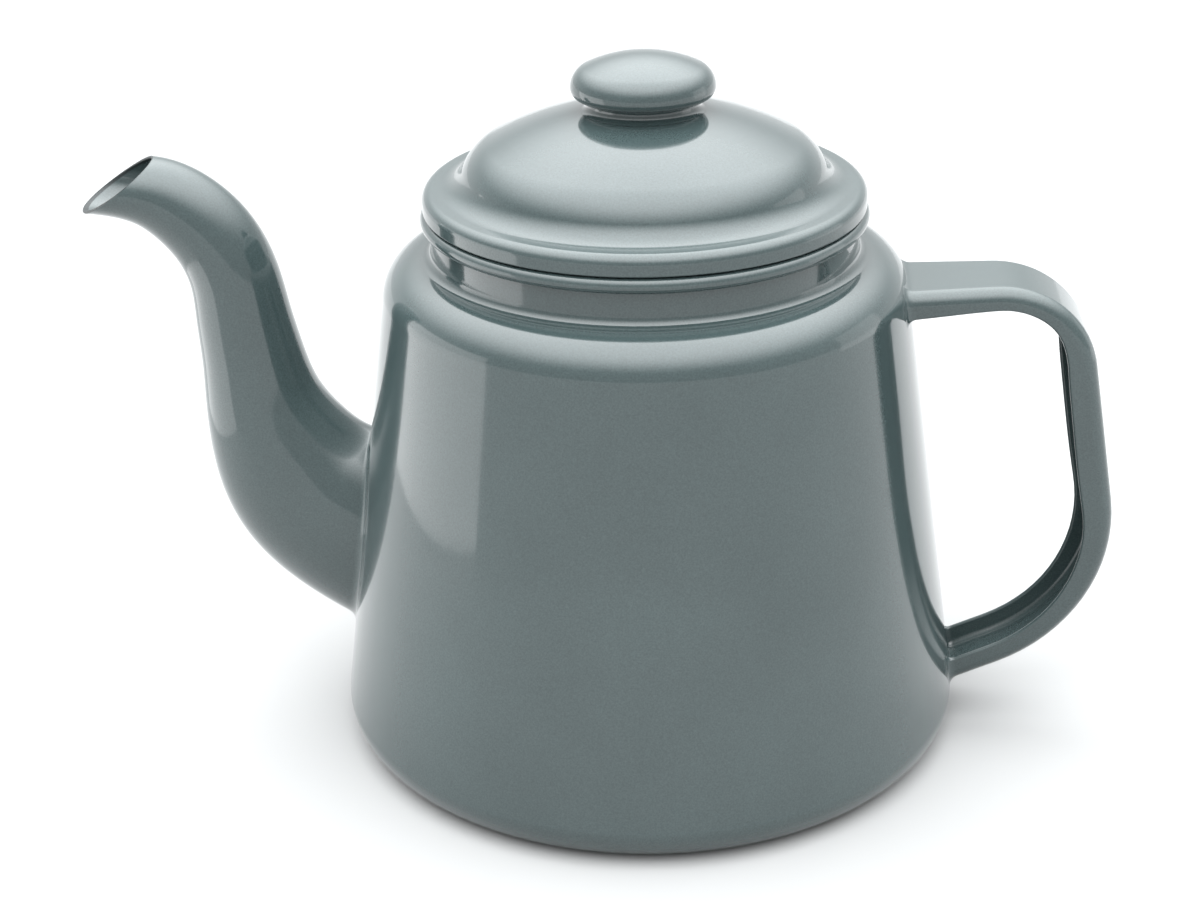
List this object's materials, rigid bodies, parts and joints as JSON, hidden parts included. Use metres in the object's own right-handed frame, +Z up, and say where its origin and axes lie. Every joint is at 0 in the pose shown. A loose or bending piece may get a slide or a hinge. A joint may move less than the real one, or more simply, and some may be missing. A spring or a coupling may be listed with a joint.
{
  "type": "teapot",
  "caption": "Enamelled steel camp teapot: conical pot with a swan-neck spout, a channel-section strap handle and a lift-off domed lid with a mushroom knob.",
  "frame": {"origin": "centre of the flat base, on the surface the pot stands on", "axes": "+Z up along the pot's axis, +X towards the handle, -X towards the spout"},
  "size_m": [0.2425, 0.15, 0.1653],
  "materials": {
    "grey_green_enamel": "gloss"
  },
  "bodies": {
    "pot": {"body_shell": "grey_green_enamel", "base_pan": "grey_green_enamel", "spout_left_half": "grey_green_enamel", "spout_right_half": "grey_green_enamel", "spout_weld": "grey_green_enamel", "handle_strap": "grey_green_enamel", "handle_weld_upper": "grey_green_enamel", "handle_weld_lower": "grey_green_enamel"},
    "lid": {"lid_shell": "grey_green_enamel", "lid_collar": "grey_green_enamel", "knob_stem": "grey_green_enamel", "knob_crown": "grey_green_enamel"}
  },
  "joints": [
    {"name": "lid_lift", "type": "slide", "parent": "pot", "child": "lid", "axis": [0, 0, 1], "range_m": [0, 0.06]}
  ]
}
